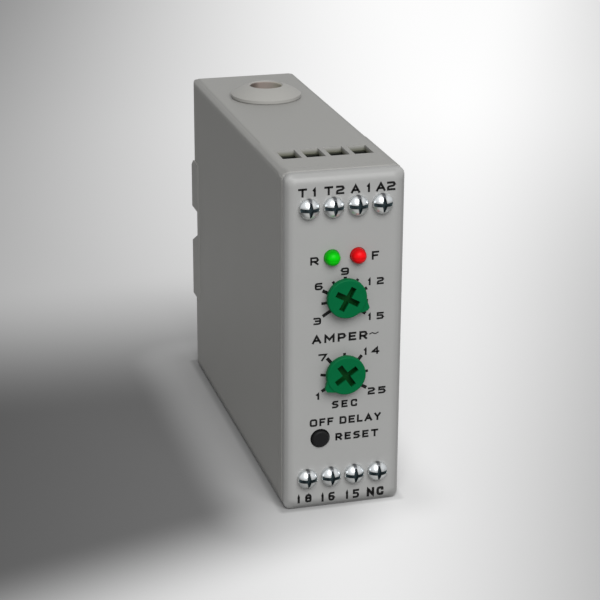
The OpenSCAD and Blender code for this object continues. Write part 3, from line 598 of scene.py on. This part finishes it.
words = [  # text, left and right ends, base line, letter height, share of the letters' width, stroke
    ("T1", -10.03, -6.30, 69.80, 1.86, 1.0, 0.46), ("T2", -4.53, -0.30, 69.88, 1.86, 1.0, 0.46),
    ("A1", 1.10, 5.16, 69.88, 1.86, 1.0, 0.46), ("A2", 6.45, 10.60, 69.88, 1.92, 1.0, 0.46),
    ("R", -7.40, -5.62, 55.10, 1.76, 1.0, 0.40), ("F", 5.80, 7.38, 55.22, 1.88, 1.0, 0.42),
    ("3", -6.62, -4.96, 41.95, 1.62, 1.0, 0.40), ("6", -6.40, -4.72, 49.58, 1.60, 1.0, 0.40),
    ("9", -0.82, 0.93, 52.42, 1.62, 1.0, 0.40), ("12", 5.08, 8.52, 49.69, 1.60, 1.0, 0.40),
    ("15", 5.25, 8.65, 41.95, 1.58, 1.0, 0.40),
    ("AMPER", -6.90, 5.12, 37.75, 1.90, 1.0, 0.46), ("~", 5.55, 7.60, 38.66, 0.52, 1.0, 0.24),
    ("1", -5.95, -5.22, 25.05, 1.58, 1.0, 0.42), ("7", -5.48, -3.60, 33.72, 1.65, 1.0, 0.40),
    ("14", 4.46, 7.86, 34.18, 1.65, 1.0, 0.40), ("25", 5.45, 9.40, 25.02, 1.65, 1.0, 0.42),
    ("SEC", -2.38, 3.16, 22.72, 1.68, 0.92, 0.42),
    ("OFF DELAY", -7.28, 8.46, 18.95, 1.75, 0.93, 0.44),
    ("RESET", -1.58, 7.96, 15.21, 1.72, 0.93, 0.44),
    ("18", -9.86, -6.75, 1.40, 1.97, 0.72, 0.50), ("16", -4.56, -1.58, 1.15, 2.06, 0.70, 0.48),
    ("15", 0.92, 3.92, 1.13, 2.08, 0.70, 0.48), ("NC", 5.62, 9.45, 1.10, 2.10, 0.82, 0.58),
]
dialSpec = {  # degrees and millimetres, measured from a centre beside the knob's axis
    "range_knob": {
        "from": 212.0, "to": -34.0, "aside": 0.06, "below": 1.23,
        "reach": (5.56, 5.0, 5.5, 5.22, 5.35, 5.45, 5.45, 5.1, 5.57),
    },
    "delay_knob": {
        "from": 210.4, "to": -31.3, "aside": 0.17, "below": 1.08,
        "reach": (5.68, 5.26, 5.9, 5.34, 5.88, 5.3, 5.8),
    },
}
tickSpec = {"inner": 3.3, "wide": 0.72, "narrow": 0.60}  # the wide ones stand at the numbers


def resample(points, step):
    made = [points[0]]
    for a, b in zip(points, points[1:]):
        parts = max(1, round((b - a).length / step))
        made += [a.lerp(b, n / parts) for n in range(1, parts + 1)]
    return made


def isLoop(points):
    return (points[0] - points[-1]).length < tiny


def softened(points, rounded, radius):
    made = [points[0]]
    for n in range(1, len(points) - 1):
        before, corner, after = points[n - 1:n + 2]
        if not rounded[n]:
            made.append(corner)
            continue
        reach = min(radius, (corner - before).length / 2, (after - corner).length / 2)
        first = corner + (before - corner).normalized() * reach
        last = corner + (after - corner).normalized() * reach
        for k in range(printSpec["bends"] + 1):
            t = k / printSpec["bends"]
            made.append(first * (1 - t) ** 2 + corner * 2 * t * (1 - t) + last * t * t)
    return made + [points[-1]]


def edgePairs(points, width):
    closed = isLoop(points)
    pairs = []
    for n, here in enumerate(points):
        before = points[n - 1] if n else (points[-2] if closed else None)
        after = points[n + 1] if n + 1 < len(points) else (points[1] if closed else None)
        ways = [(here - before).normalized()] if before else []
        if after:
            ways.append((after - here).normalized())
        along = sum(ways, Vector((0, 0)))
        along = along.normalized() if along.length > tiny else ways[0]
        side = Vector((-along.y, along.x))
        square = Vector((-ways[0].y, ways[0].x))
        spread = width / 2 / max(printSpec["mitre"], abs(side.dot(square)))
        pairs.append((here + side * spread, here - side * spread))
    return pairs


def layStroke(mesh, points, width, face):
    rings = []
    out, back = -printSpec["lift"], printSpec["sink"]
    for left, right in edgePairs(resample(points, printSpec["step"]), width):
        ring = []
        for spot, lift in ((left, out), (right, out), (right, back), (left, back)):
            start = Vector((spot.x * mm, cadBox[0].y - printSpec["castFrom"] * mm, spot.y * mm))
            hit = face.ray_cast(start, Vector((0, 1, 0)))[0]
            ring.append(mesh.verts.new((hit.x, hit.y + lift * mm, hit.z)))
        rings.append(ring)
    for a, b in zip(rings, rings[1:]):
        for n in range(len(a)):
            m = (n + 1) % len(a)
            mesh.faces.new((a[n], a[m], b[m], b[n]))
    mesh.faces.new(rings[0][::-1])
    mesh.faces.new(rings[-1])


def capped(points, reach):
    first = points[0] + (points[0] - points[1]).normalized() * reach
    last = points[-1] + (points[-1] - points[-2]).normalized() * reach
    return [first] + points[1:-1] + [last]


def layWord(mesh, text, left, right, base, height, wide, stroke, face):
    widths = [letterShapes[letter][0] * height * wide for letter in text]
    if len(text) == 1:
        widths = [right - left]
    gap = (right - left - sum(widths)) / max(1, len(text) - 1)
    for letter, width in zip(text, widths):
        for shape in letterShapes[letter][1]:
            points = []
            for p in shape:
                x = left + stroke / 2 + p[0] * (width - stroke)
                points.append(Vector((x, base + stroke / 2 + p[1] * (height - stroke))))
            closed = isLoop(points)
            points = softened(points, [len(p) > 2 for p in shape], printSpec["soft"] * height)
            layStroke(mesh, points if closed else capped(points, stroke / 2), stroke, face)
        left += width + gap


def layTicks(mesh, knob, spec, face):
    axis = knobAxis(knob)
    off = Vector((spec["aside"], -spec["below"]))
    centre = Vector((axis[0], axis[2])) + off
    steps = len(spec["reach"]) - 1
    for n, far in enumerate(spec["reach"]):
        angle = math.radians(spec["from"] + (spec["to"] - spec["from"]) * n / steps)
        way = Vector((math.cos(angle), math.sin(angle)))
        lead = off.dot(way)
        near = math.sqrt(lead * lead - off.dot(off) + tickSpec["inner"] ** 2) - lead  # under the knob's rim
        width = tickSpec["narrow"] if n % 2 else tickSpec["wide"]
        layStroke(mesh, [centre + way * near, centre + way * far], width, face)


def inkFinish(name):
    material, wire, shader = newFinish(name, {"Specular IOR Level": inkSpec["gloss"]})
    patch = noise(wire, places(wire), "cloud", inkSpec["patch"])
    feed(shader, mixColour(wire, patch, grey(inkSpec["dark"]), grey(inkSpec["pale"])), "Base Color")
    feed(shader, inkSpec["rough"] + patch * inkSpec["patchRough"], "Roughness")
    return material


def panelPrint():
    panel = nodes["front_panel"].data
    face = BVHTree.FromPolygons([v.co for v in panel.vertices], [p.vertices for p in panel.polygons])
    mesh = bmesh.new()
    for word in words:
        layWord(mesh, *word, face)
    for knob, spec in dialSpec.items():
        layTicks(mesh, knob, spec, face)
    bmesh.ops.recalc_face_normals(mesh, faces=mesh.faces)
    data = bpy.data.meshes.new("panelPrint")
    mesh.to_mesh(data)
    mesh.free()
    piece = bpy.data.objects.new("panelPrint", data)
    bpy.context.scene.collection.objects.link(piece)
    data.materials.append(inkFinish("printInk"))
    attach(piece, "housing")


panelPrint()
print("print laid on the panel")


# Camera at the photograph's angle

viewSpec = {  # metres and degrees; lens and sensor in millimetres
    "place": (-0.10790, -0.39606, 0.18258), "turn": 15.567, "tilt": 20.186, "roll": 0.274,
    "lens": 113.89, "sensor": 36.0, "nearest": 0.01,
}


def addCamera():
    data = bpy.data.cameras.new("camera")
    data.lens = viewSpec["lens"]
    data.sensor_width = viewSpec["sensor"]
    data.clip_start = viewSpec["nearest"]
    camera = bpy.data.objects.new("camera", data)
    bpy.context.scene.collection.objects.link(camera)
    turn = Matrix.Rotation(math.radians(-viewSpec["turn"]), 4, "Z")
    tilt = Matrix.Rotation(math.radians(90 - viewSpec["tilt"]), 4, "X")
    roll = Matrix.Rotation(math.radians(viewSpec["roll"]), 4, "Z")
    camera.matrix_world = Matrix.Translation(viewSpec["place"]) @ turn @ tilt @ roll
    bpy.context.scene.camera = camera


# Pale floor, greyer to the left and right, with a painted soft shadow on the left
# and a painted contact shadow at the foot, under a wide softbox in front and above;
# it glows where it is seen, away from the part

floorSpec = {  # half is in metres and the bands are in millimetres
    "half": 4.0, "cells": 8, "rough": 0.85, "gloss": 0.2,
    "pale": 0.98, "dim": 0.22, "slant": 0.25, "greyBand": (-190.0, 80.0),
    # patch is a painted shadow and contact a painted contact shadow
    "patch": 0.8, "patchSlant": 0.32, "patchFront": (-66.0, -28.0), "patchBack": (20.0, 115.0),
    "patchEnd": (-2.0, 14.0), "patchNear": 0.5, "patchNearBand": (0.0, 18.0),
    "right": 0.65, "rightSlant": 0.45, "rightBand": (15.0, 115.0),
    "rightFade": 0.5, "rightFar": (-100.0, 250.0),
    "contact": 0.3, "contactBand": (0.1, 1.6), "contactRight": 0.4,
    "glow": 0.5, "glowMore": 0.3, "glowFar": (50.0, 300.0), "glowLevel": 1.12, "glowBand": (0.0, 14.0),
    "bounce": 0.36,
}
lightSpec = {"way": (0.0, -0.74, 0.67), "far": 1.2, "wide": 1.0, "tall": 0.7, "power": 13.6}  # metres, watts
worldSpec = {"light": 0.25, "seen": 0.72}


def directRay(wire):
    straight = wire.node("ShaderNodeLightPath", out="Is Camera Ray")
    glossy = wire.node("ShaderNodeLightPath", out="Is Glossy Ray")
    through = wire.node("ShaderNodeLightPath", out="Is Transmission Ray")
    return wire.maths("MAXIMUM", wire.maths("MAXIMUM", straight, glossy), through)


def awayFromPart(wire, across, along):
    low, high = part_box("main_case")
    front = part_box("front_panel")[0].y
    middle = ((low.x + high.x) / 2 / mm, (front + high.y) / 2 / mm)
    return outsideBox(wire, across, along, middle, ((high.x - low.x) / 2 / mm, (high.y - front) / 2 / mm))


def floorTone(wire, across, along, away):
    paler = smooth(wire, across - along * floorSpec["slant"], *floorSpec["greyBand"])
    leftward = 1 - smooth(wire, across, *floorSpec["patchEnd"])
    # painted shadow on the left
    patch = smooth(wire, along - across * floorSpec["patchSlant"], *floorSpec["patchFront"]) * leftward
    patch = patch * (1 - smooth(wire, along, *floorSpec["patchBack"]))
    near = 1 - smooth(wire, away, *floorSpec["patchNearBand"])
    patch = patch * (1 - near * floorSpec["patchNear"])
    right = smooth(wire, across - along * floorSpec["rightSlant"], *floorSpec["rightBand"])
    right = right * (1 - smooth(wire, along, *floorSpec["rightFar"]) * floorSpec["rightFade"])
    under = 1 - (1 - leftward) * floorSpec["contactRight"]
    # painted contact shadow at the foot
    contact = (1 - smooth(wire, away, *floorSpec["contactBand"])) * under
    tone = floorSpec["dim"] + paler * (floorSpec["pale"] - floorSpec["dim"])
    for dark, share in ((patch, "patch"), (right, "right"), (contact, "contact")):
        tone = tone * (1 - dark * floorSpec[share])
    return tone


def addFloor():
    mesh = bmesh.new()
    cells = floorSpec["cells"]
    bmesh.ops.create_grid(mesh, x_segments=cells, y_segments=cells, size=floorSpec["half"])
    data = bpy.data.meshes.new("floor")
    mesh.to_mesh(data)
    mesh.free()
    floor = bpy.data.objects.new("floor", data)
    bpy.context.scene.collection.objects.link(floor)
    fixed = {"Roughness": floorSpec["rough"], "Specular IOR Level": floorSpec["gloss"]}
    material, wire, shader = newFinish("floorPaper", fixed)
    spot = places(wire)
    across, along = part(wire, spot, "X"), part(wire, spot, "Y")
    away = awayFromPart(wire, across, along)
    tone = floorTone(wire, across, along, away)
    paper = wire.node("ShaderNodeCombineColor", {}, {0: tone, 1: tone, 2: tone})
    direct = directRay(wire)
    feed(shader, mixColour(wire, direct, grey(floorSpec["bounce"]), paper), "Base Color")
    glow = wire.node("ShaderNodeEmission", {}, {"Color": paper, "Strength": floorSpec["glowLevel"]})
    surface = Wire(wire.tree, shader.outputs["BSDF"])
    further = smooth(wire, along, *floorSpec["glowFar"]) * floorSpec["glowMore"] + floorSpec["glow"]
    share = direct * smooth(wire, away, *floorSpec["glowBand"]) * further
    mixed = wire.node("ShaderNodeMixShader", {}, {0: share, 1: surface, 2: glow})
    wire.tree.links.new(mixed.socket, wire.tree.nodes["Material Output"].inputs["Surface"])
    data.materials.append(material)


def addLight(name, spec):
    data = bpy.data.lights.new(name, "AREA")
    data.shape = "RECTANGLE"
    data.size = spec["wide"]
    data.size_y = spec["tall"]
    data.energy = spec["power"]
    lamp = bpy.data.objects.new(name, data)
    bpy.context.scene.collection.objects.link(lamp)
    way = Vector(spec["way"]).normalized()
    middle = (cadBox[0] + cadBox[1]) / 2
    lamp.location = middle + way * spec["far"]
    lamp.rotation_mode = "QUATERNION"
    lamp.rotation_quaternion = way.to_track_quat("Z", "Y")


def addWorld():
    world = bpy.data.worlds.new("studio")
    bpy.context.scene.world = world
    world.use_nodes = True
    tree = world.node_tree
    tree.nodes.clear()
    wire = Wire(tree)
    soft = wire.node("ShaderNodeBackground", {}, {"Color": grey(1.0), "Strength": worldSpec["light"]})
    seen = wire.node("ShaderNodeBackground", {}, {"Color": grey(worldSpec["seen"]), "Strength": 1.0})
    mixed = wire.node("ShaderNodeMixShader", {}, {0: directRay(wire), 1: soft, 2: seen})
    wire.node("ShaderNodeOutputWorld", {}, {"Surface": mixed}, None)


addCamera()
addFloor()
addLight("softbox", lightSpec)
addWorld()
bpy.context.scene.view_settings.view_transform = "Standard"
print("camera, floor and light in place")
